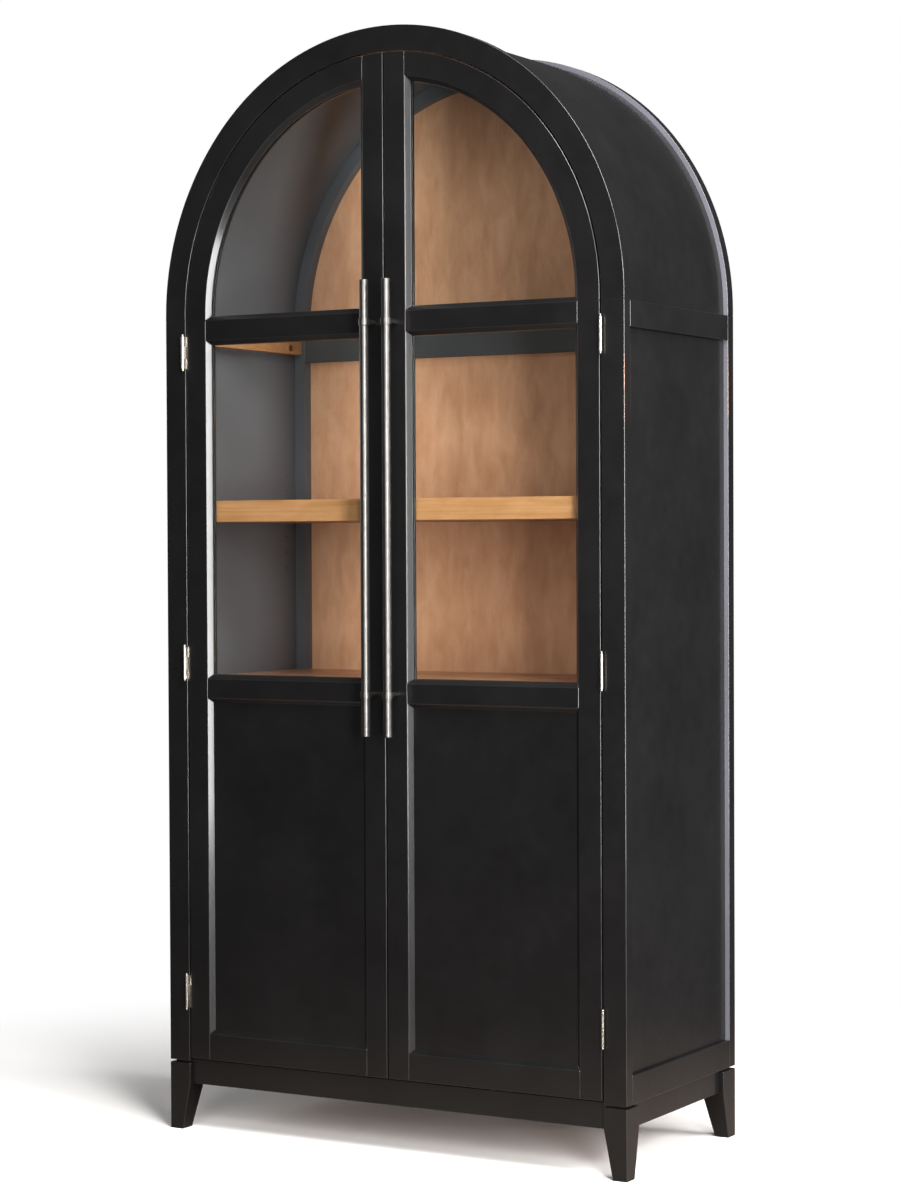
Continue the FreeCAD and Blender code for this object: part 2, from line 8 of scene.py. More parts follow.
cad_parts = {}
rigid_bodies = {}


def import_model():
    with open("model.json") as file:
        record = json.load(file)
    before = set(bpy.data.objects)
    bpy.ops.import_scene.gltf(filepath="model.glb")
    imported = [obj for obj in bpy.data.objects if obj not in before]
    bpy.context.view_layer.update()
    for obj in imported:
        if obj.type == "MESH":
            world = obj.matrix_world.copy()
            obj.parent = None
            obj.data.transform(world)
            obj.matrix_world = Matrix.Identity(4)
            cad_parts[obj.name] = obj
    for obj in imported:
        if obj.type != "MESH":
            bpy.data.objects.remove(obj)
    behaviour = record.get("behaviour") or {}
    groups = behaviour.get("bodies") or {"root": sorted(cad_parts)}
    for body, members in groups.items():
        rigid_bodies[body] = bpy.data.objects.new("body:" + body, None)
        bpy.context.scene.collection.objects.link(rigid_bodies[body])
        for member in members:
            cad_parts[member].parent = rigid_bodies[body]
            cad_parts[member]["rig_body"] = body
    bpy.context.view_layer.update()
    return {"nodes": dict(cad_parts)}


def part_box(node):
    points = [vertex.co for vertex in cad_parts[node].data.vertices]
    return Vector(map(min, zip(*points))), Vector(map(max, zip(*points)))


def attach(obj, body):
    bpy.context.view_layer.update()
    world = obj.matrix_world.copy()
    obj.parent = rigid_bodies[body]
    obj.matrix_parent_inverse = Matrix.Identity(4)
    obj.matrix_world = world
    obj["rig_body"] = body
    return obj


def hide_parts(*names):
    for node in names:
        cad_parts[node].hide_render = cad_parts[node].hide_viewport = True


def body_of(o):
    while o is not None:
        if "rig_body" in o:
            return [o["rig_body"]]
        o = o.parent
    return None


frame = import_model()

# ---- sizes, in metres -------------------------------------------------
MM = 0.001
SIDES = (("left", -1), ("right", 1))
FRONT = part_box("face_stile_left")[0].y          # the plane of the doors' faces
LACQUER_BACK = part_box("face_stile_left")[1].y   # inside paint starts behind the face frame
BACK_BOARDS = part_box("back_panel_upper")[0].y
SPRING = 1.6076
MIDDLE_Y = (LACQUER_BACK + BACK_BOARDS) / 2
INSIDE_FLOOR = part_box("bottom_board")[1].z

HAIR = 0.01 * MM                # points nearer than this are one point
CASE_ARRIS = 1.0 * MM
DOOR_ARRIS = 1.1 * MM
BOARD_ARRIS = 1.5 * MM
FITTING_ARRIS = 0.3 * MM
RIM = 0.5 * MM
SHORTEST_ARRIS = 5.0 * MM       # shorter edges are the rims of drilled holes

PULL_X = 24.2 * MM
PULL_REACH = 34.0 * MM
BAR_DOME = 1.2 * MM
BORE_RADIUS = 8.55 * MM
COLLAR_RADIUS = 10.6 * MM
COLLAR_HEIGHT = 11.5 * MM
POST_HEIGHTS = (0.873, 1.575)
POST_RADIUS = 5.5 * MM
POST_SHORT = 0.8 * MM           # each post stops this far from the bore of its collar

HINGE_X = 460.5 * MM
HINGE_REACH = 6.5 * MM
LEAF_X = 457.0 * MM
LEAF_GAP = 0.15 * MM            # from the middle of the gap to either leaf
KNUCKLE = 3.0 * MM
KNUCKLE_SLACK = 0.08 * MM
SCREW_PLACES = [(depth * MM, height + rise * MM) for height in (0.275, 0.925, 1.535)
                for depth, rise in ((7.5, -23.0), (14.0, 0.0), (7.5, 23.0))]
BOLT_FACE = 24.0 * MM           # heads of the bolts that hold the pulls
BOLT_SHOULDER = 466.0 * MM      # hood bolt heads stand inside this
BOLT_HEAD_CORE = 5.0 * MM
BOLT_FACET = 2.2 * MM

RECESS_CORE = 0.9 * MM          # a cross recess: its square middle, arms and depth
RECESS_ARM = 1.5 * MM
RECESS_DEEPER = 2.2
RECESS_TURN = 0.5
CATCH_FRONT = 0.0001            # square metres; smaller faces are its arrises
POLE_BORDER = 2.5 * MM
POLE_SUNK = 0.6 * MM
LOOKS_IN = 2.0 * MM             # a painted face turns at least this far to the middle
PAINT_SLACK = 0.5 * MM
ENDS_ON = 0.9                   # a face within about 25 degrees of square to an axis
SQUARE_ON = 0.99
SHARP = math.radians(30)
FLAT = math.radians(0.4)
SMOOTH = math.radians(42)
QUARTER = math.pi / 2


# ---- small tools ------------------------------------------------------
def linear(shade):
    """An sRGB hex colour as the linear values the shaders take."""
    values = [int(shade[i:i + 2], 16) / 255 for i in (1, 3, 5)]
    return [v / 12.92 if v <= 0.04045 else ((v + 0.055) / 1.055) ** 2.4 for v in values] + [1.0]


def add(tree, kind, inputs=(), stops=(), **settings):
    """Add a node, set its properties and stops, then fill its inputs."""
    node = tree.nodes.new(kind)
    for name, value in settings.items():
        setattr(node, name, value)
    for place, shade in stops:
        end = len(node.color_ramp.elements) - 1
        if place == stops[0][0]:
            element = node.color_ramp.elements[0]
        elif place == stops[-1][0]:
            element = node.color_ramp.elements[end]
        else:
            element = node.color_ramp.elements.new(place)
        element.position = place
        element.color = linear(shade)
    for name, value in dict(inputs).items():
        if isinstance(value, bpy.types.NodeSocket):
            tree.links.new(value, node.inputs[name])
        else:
            node.inputs[name].default_value = value
    return node


def new_material(name):
    """An empty material and its node tree."""
    material = bpy.data.materials.new(name)
    material.use_nodes = True
    material.node_tree.nodes.clear()
    return material, material.node_tree


def pick(piece):
    """Make this piece the only one selected."""
    bpy.ops.object.select_all(action="DESELECT")
    piece.select_set(True)
    bpy.context.view_layer.objects.active = piece


def open_piece(piece):
    """Go into edit mode on one piece, choosing edges, with nothing selected."""
    pick(piece)
    bpy.ops.object.mode_set(mode="EDIT")
    bpy.context.tool_settings.mesh_select_mode = (False, True, False)
    bpy.ops.mesh.select_all(action="DESELECT")


def close_piece():
    """Leave edit mode."""
    bpy.ops.object.mode_set(mode="OBJECT")


def choose_edges(piece, wanted):
    """Select the edges of the open piece that wanted(edge) says yes to."""
    mesh = bmesh.from_edit_mesh(piece.data)
    for edge in mesh.edges:
        edge.select_set(wanted(edge))
    mesh.select_flush_mode()
    bmesh.update_edit_mesh(piece.data)


def is_sharp(edge):
    """An edge where two faces meet at a plain corner."""
    return len(edge.link_faces) == 2 and edge.calc_face_angle() > SHARP


def is_arris(edge):
    """A sharp edge long enough to ease, and not the glued joint at the crown."""
    at_crown = all(abs(v.co.x) < HAIR for v in edge.verts)
    return is_sharp(edge) and edge.calc_length() > SHORTEST_ARRIS and not at_crown


def polish(piece):
    """Smooth shading that keeps the flats flat up to their arrises."""
    pick(piece)
    bpy.ops.object.shade_smooth_by_angle(angle=SMOOTH)
    weighted = piece.modifiers.new("flats", "WEIGHTED_NORMAL")
    weighted.keep_sharp = True
    bpy.ops.object.modifier_apply(modifier=weighted.name)


def bench_copy(node):
    """A copy of a CAD node: its loose triangles made clean faces, and none left inside."""
    piece = bpy.data.objects.new("finished_" + node, frame["nodes"][node].data.copy())
    bpy.context.scene.collection.objects.link(piece)
    pick(piece)
    bpy.ops.mesh.customdata_custom_splitnormals_clear()
    open_piece(piece)
    bpy.ops.mesh.select_all(action="SELECT")
    bpy.ops.mesh.remove_doubles(threshold=HAIR)
    bpy.ops.mesh.dissolve_limited(angle_limit=FLAT)
    bpy.ops.mesh.select_all(action="DESELECT")
    bpy.ops.mesh.select_interior_faces()
    bpy.ops.mesh.delete(type="ONLY_FACE")
    close_piece()
    return piece


def hand_over(piece, node):
    """Let a finished piece stand for a CAD node and move with that node's body."""
    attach(piece, body_of(frame["nodes"][node])[0])
    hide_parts(node)


def eased(node, width, finishes, wanted=is_arris, segments=3):
    """A copy of a CAD node with its arrises rounded; finishes are flats, then arrises."""
    piece = bench_copy(node)
    piece.data.materials.clear()
    for material in finishes:
        piece.data.materials.append(material)
    open_piece(piece)
    choose_edges(piece, wanted)
    bpy.ops.mesh.bevel(offset=width, segments=segments, affect="EDGES", clamp_overlap=False,
                       material=1 if len(finishes) > 1 else -1)
    close_piece()
    hand_over(piece, node)
    polish(piece)
    return piece


def faces_inside(piece):
    """The faces of a case piece that look into the cupboard."""
    for face in piece.data.polygons:
        centre, normal = face.center, face.normal
        axis = Vector((0, MIDDLE_Y, min(centre.z, SPRING)))
        if (LACQUER_BACK - PAINT_SLACK < centre.y < BACK_BOARDS + MM
                and centre.z > INSIDE_FLOOR - MM
                and (axis - centre).dot(normal) > LOOKS_IN):
            yield face


# ---- pulls and fittings -----------------------------------------------
def name_piece(name, material):
    """Name the newest primitive, give it a finish and settle its place in its mesh."""
    piece = bpy.context.object
    piece.name = name
    piece.data.materials.append(material)
    bpy.ops.object.transform_apply(location=True, rotation=True, scale=True)
    return piece


def choose_faces(piece, wanted):
    """Select the faces of the open piece that wanted(face) says yes to."""
    bpy.context.tool_settings.mesh_select_mode = (False, False, True)
    mesh = bmesh.from_edit_mesh(piece.data)
    for face in mesh.faces:
        face.select_set(wanted(face))
    bmesh.update_edit_mesh(piece.data)


def combine(piece, other, operation):
    """Join or cut two solids into one clean mesh, and throw the other away."""
    pick(piece)
    both = piece.modifiers.new(operation.lower(), "BOOLEAN")
    both.object = other
    both.operation = operation
    both.solver = "EXACT"
    bpy.ops.object.modifier_apply(modifier=both.name)
    bpy.data.objects.remove(other)


def drawn_bar(side):
    """A drawn round bar with its ends turned to a small dome."""
    node = "pull_bar_" + side
    low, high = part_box(node)
    radius = (high.x - low.x) / 2
    bpy.ops.mesh.primitive_cylinder_add(vertices=72, radius=radius, depth=high.z - low.z,
                                        location=(low + high) / 2)
    bar = name_piece("drawn_pull_bar_" + side, GUNMETAL)
    open_piece(bar)
    choose_edges(bar, lambda e: is_sharp(e) and abs(e.verts[0].co.z - e.verts[1].co.z) < MM)
    bpy.ops.mesh.bevel(offset=BAR_DOME, segments=5, affect="EDGES")
    close_piece()
    hand_over(bar, node)
    polish(bar)


def pull_posts(side, sign):
    """Two collars round the bar, each with a round post that runs back to the door."""
    node = "pull_posts_" + side
    posts = []
    for height in POST_HEIGHTS:
        centre = Vector((sign * PULL_X, FRONT - PULL_REACH, height))
        bpy.ops.mesh.primitive_cylinder_add(vertices=72, radius=COLLAR_RADIUS,
                                            depth=COLLAR_HEIGHT, location=centre)
        collar = name_piece("collar", GUNMETAL)
        open_piece(collar)
        choose_faces(collar, lambda f: abs(f.normal.z) > ENDS_ON)
        bpy.ops.mesh.inset(thickness=COLLAR_RADIUS - BORE_RADIUS)
        bpy.ops.mesh.bridge_edge_loops()
        close_piece()
        reach = PULL_REACH - BORE_RADIUS - POST_SHORT
        bpy.ops.mesh.primitive_cylinder_add(
            vertices=48, radius=POST_RADIUS, depth=reach, rotation=(QUARTER, 0, 0),
            location=(centre.x, FRONT - reach / 2, height))
        combine(collar, name_piece("post", GUNMETAL), "UNION")
        open_piece(collar)
        choose_edges(collar, lambda e: is_sharp(e) and all(
            abs(abs(v.co.z - height) - COLLAR_HEIGHT / 2) < HAIR for v in e.verts))
        bpy.ops.mesh.bevel(offset=RIM, segments=3, affect="EDGES")
        close_piece()
        posts.append(collar)
    pick(posts[0])
    posts[1].select_set(True)
    bpy.ops.object.join()
    posts[0].name = "turned_pull_posts_" + side
    hand_over(posts[0], node)
    polish(posts[0])


def on_hinge_rim(edge):
    """The long edges of a leaf and the end rims of its knuckles."""
    ends = [v.co for v in edge.verts]
    level = abs(ends[0].z - ends[1].z) < HAIR
    round_pin = all(abs(math.hypot(abs(p.x) - HINGE_X, p.y - FRONT + HINGE_REACH) - KNUCKLE)
                    < KNUCKLE_SLACK for p in ends)
    return is_arris(edge) or (is_sharp(edge) and level and round_pin)


def on_bolt_rim(edge):
    """The outer rim of a hood bolt's head."""
    ends = [v.co for v in edge.verts]
    upright = abs(ends[0].x - ends[1].x) < HAIR
    return (is_sharp(edge) and upright and edge.calc_length() < BOLT_FACET
            and all(abs(p.x) < BOLT_SHOULDER and bolt_distance(p) > BOLT_HEAD_CORE
                    for p in ends))


def bolt_distance(point):
    """How far a point lies from the axis of the nearest hood bolt."""
    low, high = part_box("hood_bolts")
    radius = (high.z - low.z) / 2
    depth = low.y + radius if point.y < MIDDLE_Y else high.y - radius
    return math.hypot(point.y - depth, point.z - low.z - radius)


def cut_recesses(piece, places):
    """Cross recesses, 4 mm over and 1 mm deep, in the screw heads at these places."""
    bpy.ops.mesh.primitive_cube_add(size=RECESS_CORE)
    cutter = name_piece("cross_cutter", ZINC)
    open_piece(cutter)
    choose_faces(cutter, lambda f: abs(f.normal.z) < ENDS_ON)
    bpy.ops.mesh.extrude_faces_move(TRANSFORM_OT_shrink_fatten={"value": RECESS_ARM})
    choose_faces(cutter, lambda f: True)
    bpy.ops.transform.resize(value=(1, 1, RECESS_DEEPER))
    close_piece()
    cutters = []
    for place, along in places:
        copy = bpy.data.objects.new("cutter", cutter.data.copy())
        bpy.context.scene.collection.objects.link(copy)
        turn = Matrix.Rotation(QUARTER, 4, "Y" if along == "X" else "X")
        copy.data.transform(Matrix.Translation(place) @ turn
                            @ Matrix.Rotation(RECESS_TURN, 4, "Z"))
        cutters.append(copy)
    bpy.data.objects.remove(cutter)
    pick(cutters[0])
    for copy in cutters[1:]:
        copy.select_set(True)
    bpy.ops.object.join()
    combine(piece, cutters[0], "DIFFERENCE")
    polish(piece)


def magnetic_catches():
    """Nylon housings with a steel pole plate let into each front."""
    catches = eased("magnetic_catches", RIM, (NYLON, ZINC), is_arris, 2)
    for face in catches.data.polygons:
        face.material_index = 0
    open_piece(catches)
    choose_faces(catches, lambda f: f.normal.y < -SQUARE_ON and f.calc_area() > CATCH_FRONT)
    bpy.ops.mesh.inset(thickness=POLE_BORDER)
    bpy.context.object.active_material_index = 1
    bpy.ops.object.material_slot_assign()
    bpy.ops.mesh.extrude_region_shrink_fatten(
        TRANSFORM_OT_shrink_fatten={"value": -POLE_SUNK})
    close_piece()
    polish(catches)


# ---- finishes ---------------------------------------------------------
def lacquer_nodes(tree, spot):
    """Colour, roughness and height shared by both lacquer finishes."""
    cloud = add(tree, "ShaderNodeTexNoise", {"Vector": spot, "Scale": 7.0, "Detail": 4.0})
    shade = add(tree, "ShaderNodeValToRGB", {"Fac": cloud.outputs["Fac"]},
                stops=((0.3, "#0d0c0c"), (0.7, "#131212")))
    # rubbing pad marks, about 30 mm across
    haze = add(tree, "ShaderNodeTexNoise", {"Vector": spot, "Scale": 33.0, "Detail": 3.0})
    gloss = add(tree, "ShaderNodeMapRange", {"Value": haze.outputs["Fac"], "From Min": 0.3,
                                             "From Max": 0.7, "To Min": 0.30, "To Max": 0.38})
    # orange peel of a sprayed coat, about 2.5 mm from dimple to dimple
    peel = add(tree, "ShaderNodeTexNoise", {"Vector": spot, "Scale": 400.0, "Detail": 2.0})
    relief = add(tree, "ShaderNodeBump", {"Height": peel.outputs["Fac"], "Strength": 0.25,
                                          "Distance": 0.00003})
    return shade, gloss, relief


def satin_black_lacquer():
    """Black lacquer sprayed on maple and rubbed to a satin: dark, with a soft wide sheen."""
    material, tree = new_material("satin_black_lacquer")
    spot = add(tree, "ShaderNodeTexCoord").outputs["Object"]
    shade, gloss, relief = lacquer_nodes(tree, spot)
    surface = add(tree, "ShaderNodeBsdfPrincipled", {
        "Base Color": shade.outputs["Color"], "Roughness": gloss.outputs["Result"],
        "Normal": relief.outputs["Normal"], "Coat Normal": relief.outputs["Normal"],
        "IOR": 1.5, "Specular IOR Level": 0.25, "Coat Weight": 0.45, "Coat Roughness": 0.14})
    add(tree, "ShaderNodeOutputMaterial", {"Surface": surface.outputs["BSDF"]})
    return material


def rubbed_arris_lacquer():
    """The same lacquer on the arrises: thinner, glossier, brown where it is rubbed through."""
    material, tree = new_material("rubbed_arris_lacquer")
    spot = add(tree, "ShaderNodeTexCoord").outputs["Object"]
    shade, gloss, _ = lacquer_nodes(tree, spot)
    # where hands and dusters reach: heights from the floor to the crown, 0 to 2.134 m
    place = add(tree, "ShaderNodeSeparateXYZ", {"Vector": spot})
    height = add(tree, "ShaderNodeMapRange", {"Value": place.outputs["Z"], "From Max": 2.134})
    reach = add(tree, "ShaderNodeValToRGB", {"Fac": height.outputs["Result"]}, stops=(
        (0.0, "#6a6a6a"), (0.05, "#303030"), (0.14, "#606060"), (0.19, "#a0a0a0"),
        (0.25, "#404040"), (0.40, "#8c8c8c"), (0.50, "#303030"), (0.60, "#909090"),
        (0.69, "#e0e0e0"), (0.75, "#505050"), (0.88, "#707070"), (1.0, "#303030")))
    # nibbled patches 4 mm long within runs of 60 mm
    nibble = add(tree, "ShaderNodeTexNoise", {"Vector": spot, "Scale": 230.0, "Detail": 5.0,
                                              "Roughness": 0.7})
    run = add(tree, "ShaderNodeTexNoise", {"Vector": spot, "Scale": 16.0, "Detail": 1.0})
    both = add(tree, "ShaderNodeMath", {0: nibble.outputs["Fac"], 1: run.outputs["Fac"]},
               operation="ADD")
    # only the outer corners of the case and the doors' meeting edges
    off_centre = add(tree, "ShaderNodeMath", {0: place.outputs["X"]}, operation="ABSOLUTE")
    corner = add(tree, "ShaderNodeValToRGB", {"Fac": off_centre.outputs["Value"]}, stops=(
        (0.0, "#ffffff"), (0.004, "#ffffff"), (0.006, "#505050"), (0.498, "#505050"),
        (0.501, "#ffffff")))
    spread = add(tree, "ShaderNodeMath", {0: reach.outputs["Color"],
                                          1: corner.outputs["Color"]}, operation="MULTIPLY")
    chance = add(tree, "ShaderNodeMath", {0: both.outputs["Value"],
                                          1: spread.outputs["Value"]}, operation="MULTIPLY")
    bare = add(tree, "ShaderNodeMapRange", {"Value": chance.outputs["Value"],
                                            "From Min": 0.50, "From Max": 0.62})
    stain = add(tree, "ShaderNodeValToRGB", {"Fac": nibble.outputs["Fac"]},
                stops=((0.35, "#5a3b2c"), (0.65, "#a87a60")))
    colour = add(tree, "ShaderNodeMixRGB", {
        "Fac": bare.outputs["Result"], "Color1": shade.outputs["Color"],
        "Color2": stain.outputs["Color"]})
    surface = add(tree, "ShaderNodeBsdfPrincipled", {
        "Base Color": colour.outputs["Color"], "Roughness": gloss.outputs["Result"],
        "IOR": 1.5, "Specular IOR Level": 0.6, "Coat Weight": 1.0, "Coat Roughness": 0.12})
    add(tree, "ShaderNodeOutputMaterial", {"Surface": surface.outputs["BSDF"]})
    return material


def eggshell_paint(name, dark, light):
    """Grey eggshell paint, rolled on inside the case: matt, with a fine stipple."""
    material, tree = new_material(name)
    spot = add(tree, "ShaderNodeTexCoord").outputs["Object"]
    cloud = add(tree, "ShaderNodeTexNoise", {"Vector": spot, "Scale": 5.0, "Detail": 5.0})
    shade = add(tree, "ShaderNodeValToRGB", {"Fac": cloud.outputs["Fac"]},
                stops=((0.3, dark), (0.7, light)))
    # roller stipple, about 1.5 mm between points
    stipple = add(tree, "ShaderNodeTexNoise", {"Vector": spot, "Scale": 650.0, "Detail": 2.0})
    relief = add(tree, "ShaderNodeBump", {"Height": stipple.outputs["Fac"], "Strength": 0.35,
                                          "Distance": 0.00015})
    gloss = add(tree, "ShaderNodeMapRange", {"Value": stipple.outputs["Fac"],
                                             "To Min": 0.46, "To Max": 0.58})
    surface = add(tree, "ShaderNodeBsdfPrincipled", {
        "Base Color": shade.outputs["Color"], "Roughness": gloss.outputs["Result"],
        "Normal": relief.outputs["Normal"], "IOR": 1.48})
    add(tree, "ShaderNodeOutputMaterial", {"Surface": surface.outputs["BSDF"]})
    return material


def honey_wood(name, turn, tones, streak, sheen):
    """Honey-stained maple; turn lays the grain, tones run dark to light."""
    material, tree = new_material(name)
    spot = add(tree, "ShaderNodeTexCoord").outputs["Object"]
    laid = add(tree, "ShaderNodeMapping", {"Vector": spot, "Rotation": turn})
    # cloudy figure of the stain: patches 30 mm wide and 80 mm long
    long_way = add(tree, "ShaderNodeMapping", {"Vector": laid.outputs["Vector"],
                                               "Scale": (33.0, 33.0, 12.0)})
    figure = add(tree, "ShaderNodeTexNoise", {"Vector": long_way.outputs["Vector"],
                                              "Scale": 1.0, "Detail": 6.0, "Roughness": 0.55,
                                              "Distortion": 0.4})
    # growth lines, about 5 mm apart and 300 mm long
    lines_way = add(tree, "ShaderNodeMapping", {"Vector": laid.outputs["Vector"],
                                                "Scale": (210.0, 210.0, 3.3)})
    lines = add(tree, "ShaderNodeTexNoise", {"Vector": lines_way.outputs["Vector"],
                                             "Scale": 1.0, "Detail": 5.0, "Roughness": 0.65})
    # pores: dark ticks 1 mm wide and 12 mm long, wider than real ones so that they show
    pores_way = add(tree, "ShaderNodeMapping", {"Vector": laid.outputs["Vector"],
                                                "Scale": (900.0, 900.0, 80.0)})
    pores = add(tree, "ShaderNodeTexNoise", {"Vector": pores_way.outputs["Vector"],
                                             "Scale": 1.0, "Detail": 2.0})
    ticks = add(tree, "ShaderNodeMapRange", {"Value": pores.outputs["Fac"], "From Min": 0.60,
                                             "From Max": 0.72})
    weight = add(tree, "ShaderNodeMath", {0: lines.outputs["Fac"], 1: streak},
                 operation="MULTIPLY")
    tone = add(tree, "ShaderNodeMath", {0: figure.outputs["Fac"], 1: 1.0 - streak,
                                        2: weight.outputs["Value"]}, operation="MULTIPLY_ADD")
    shade = add(tree, "ShaderNodeValToRGB", {"Fac": tone.outputs["Value"]}, stops=tones)
    dark = add(tree, "ShaderNodeMath", {0: ticks.outputs["Result"], 1: 0.22},
               operation="MULTIPLY")
    colour = add(tree, "ShaderNodeMixRGB", {
        "Fac": dark.outputs["Value"], "Color1": shade.outputs["Color"],
        "Color2": linear("#5b3d26")})
    gloss = add(tree, "ShaderNodeMapRange", {"Value": lines.outputs["Fac"],
                                             "To Min": sheen, "To Max": sheen + 0.12})
    relief = add(tree, "ShaderNodeBump", {"Height": pores.outputs["Fac"], "Strength": 0.2,
                                          "Distance": 0.0001})
    surface = add(tree, "ShaderNodeBsdfPrincipled", {
        "Base Color": colour.outputs["Color"], "Roughness": gloss.outputs["Result"],
        "Normal": relief.outputs["Normal"], "IOR": 1.5})
    add(tree, "ShaderNodeOutputMaterial", {"Surface": surface.outputs["BSDF"]})
    return material


def float_glass():
    """Clear float glass: what lies behind it shows, with a mirror's sheen at low angles."""
    material, tree = new_material("float_glass")
    spot = add(tree, "ShaderNodeTexCoord").outputs["Object"]
    # the slow draw of the ribbon, about 90 mm from wave to wave
    wave = add(tree, "ShaderNodeTexNoise", {"Vector": spot, "Scale": 11.0, "Detail": 0.0})
    relief = add(tree, "ShaderNodeBump", {"Height": wave.outputs["Fac"], "Strength": 0.03,
                                          "Distance": 0.001})
    mirror = add(tree, "ShaderNodeBsdfGlossy", {"Color": linear("#ffffff"), "Roughness": 0.03,
                                                "Normal": relief.outputs["Normal"]})
    clear = add(tree, "ShaderNodeBsdfTransparent", {"Color": linear("#f7faf8")})
    # only the face that light enters by mirrors it; the far face would shut it in
    angle = add(tree, "ShaderNodeFresnel", {"IOR": 1.52})
    far = add(tree, "ShaderNodeNewGeometry")
    near = add(tree, "ShaderNodeMath", {0: 1.0, 1: far.outputs["Backfacing"]},
               operation="SUBTRACT")
    share = add(tree, "ShaderNodeMath", {0: angle.outputs["Fac"], 1: near.outputs["Value"]},
                operation="MULTIPLY")
    pane = add(tree, "ShaderNodeMixShader", {0: share.outputs["Value"],
                                             1: clear.outputs["BSDF"],
                                             2: mirror.outputs["BSDF"]})
    add(tree, "ShaderNodeOutputMaterial", {"Surface": pane.outputs["Shader"]})
    return material


def metal(name, dark, light, rough, across, along, depth):
    """A worked metal; across and along are the tool marks' width and length in metres."""
    material, tree = new_material(name)
    spot = add(tree, "ShaderNodeTexCoord").outputs["Object"]
    marks_way = add(tree, "ShaderNodeMapping", {
        "Vector": spot, "Scale": (1 / across, 1 / across, 1 / along)})
    marks = add(tree, "ShaderNodeTexNoise", {"Vector": marks_way.outputs["Vector"],
                                             "Scale": 1.0, "Detail": 3.0})
    cloud = add(tree, "ShaderNodeTexNoise", {"Vector": spot, "Scale": 60.0, "Detail": 3.0})
    shade = add(tree, "ShaderNodeValToRGB", {"Fac": cloud.outputs["Fac"]},
                stops=((0.3, dark), (0.7, light)))
    gloss = add(tree, "ShaderNodeMapRange", {"Value": marks.outputs["Fac"], "From Min": 0.25,
                                             "From Max": 0.75, "To Min": rough - 0.04,
                                             "To Max": rough + 0.06})
    relief = add(tree, "ShaderNodeBump", {"Height": marks.outputs["Fac"], "Strength": 0.15,
                                          "Distance": depth})
    surface = add(tree, "ShaderNodeBsdfPrincipled", {
        "Base Color": shade.outputs["Color"], "Roughness": gloss.outputs["Result"],
        "Normal": relief.outputs["Normal"], "Metallic": 1.0})
    add(tree, "ShaderNodeOutputMaterial", {"Surface": surface.outputs["BSDF"]})
    return material


def moulded_nylon():
    """Black moulded nylon: matt, with the fine spark-eroded texture of its mould."""
    material, tree = new_material("moulded_nylon")
    spot = add(tree, "ShaderNodeTexCoord").outputs["Object"]
    # mould texture, grains about 0.5 mm across
    grain = add(tree, "ShaderNodeTexNoise", {"Vector": spot, "Scale": 2000.0, "Detail": 2.0})
    shade = add(tree, "ShaderNodeValToRGB", {"Fac": grain.outputs["Fac"]},
                stops=((0.3, "#1c1c1d"), (0.7, "#262627")))
    relief = add(tree, "ShaderNodeBump", {"Height": grain.outputs["Fac"], "Strength": 0.4,
                                          "Distance": 0.0001})
    surface = add(tree, "ShaderNodeBsdfPrincipled", {
        "Base Color": shade.outputs["Color"], "Roughness": 0.55, "IOR": 1.53,
        "Normal": relief.outputs["Normal"]})
    add(tree, "ShaderNodeOutputMaterial", {"Surface": surface.outputs["BSDF"]})
    return material


BLACK = satin_black_lacquer()
RUBBED = rubbed_arris_lacquer()
SLATE = eggshell_paint("slate_eggshell_paint", "#535359", "#5c5c63")
# a darker copy of the slate paint: painted shade for the rear rails, which sit in shadow behind
# the doors' mid rails
SHADED_SLATE = eggshell_paint("slate_paint_with_painted_shade", "#424144", "#4a494c")
UPRIGHT = (0.0, 0.0, 0.0)
LENGTHWAYS = (0.0, QUARTER, 0.0)
VENEER = honey_wood("honey_maple_veneer", UPRIGHT, (
    (0.30, "#c88e6c"), (0.45, "#d59b78"), (0.58, "#dea583"), (0.75, "#e5ae8d")), 0.15, 0.42)
FLOOR_VENEER = honey_wood("honey_maple_deck", LENGTHWAYS, (
    (0.30, "#ae7c5c"), (0.5, "#c5906b"), (0.75, "#d3a280")), 0.35, 0.22)
SHELF_WOOD = honey_wood("honey_maple_solid", LENGTHWAYS, (
    (0.30, "#93623a"), (0.45, "#ad784d"), (0.58, "#b9845a"), (0.78, "#c8966c")), 0.60, 0.36)
GLASS = float_glass()
GUNMETAL = metal("drawn_gunmetal", "#5d5b58", "#656361", 0.34, 0.0006, 0.08, 0.0)
BRONZE = metal("dark_bronze", "#3a2c20", "#4a3829", 0.40, 0.0005, 0.0005, 0.00002)
NICKEL = metal("satin_nickel_plate", "#b7b0a4", "#c6bfb3", 0.26, 0.0004, 0.004, 0.000004)
ZINC = metal("bright_zinc_plate", "#a9adb0", "#bcc0c2", 0.30, 0.0004, 0.0004, 0.00002)
BRASS = metal("aged_brass", "#a9793a", "#c49a52", 0.28, 0.0005, 0.0005, 0.00002)
NYLON = moulded_nylon()

# ---- the case ---------------------------------------------------------
for node in ("face_stile_left", "face_stile_right", "face_arch_left", "face_arch_right",
             "rear_stile_left", "rear_stile_right", "rear_arch_left", "rear_arch_right",
             "side_rails_left", "side_rails_right", "side_panel_left", "side_panel_right",
             "hood_panel", "front_legs", "rear_legs", "front_apron", "rear_apron",
             "side_aprons"):
    panel = eased(node, CASE_ARRIS, (BLACK, RUBBED, SLATE))
    for face in faces_inside(panel):
        face.material_index = 2
# the rear rails take the darker copy of the slate paint: painted shade, not a darker paint
eased("rear_rails", CASE_ARRIS, (SHADED_SLATE,))

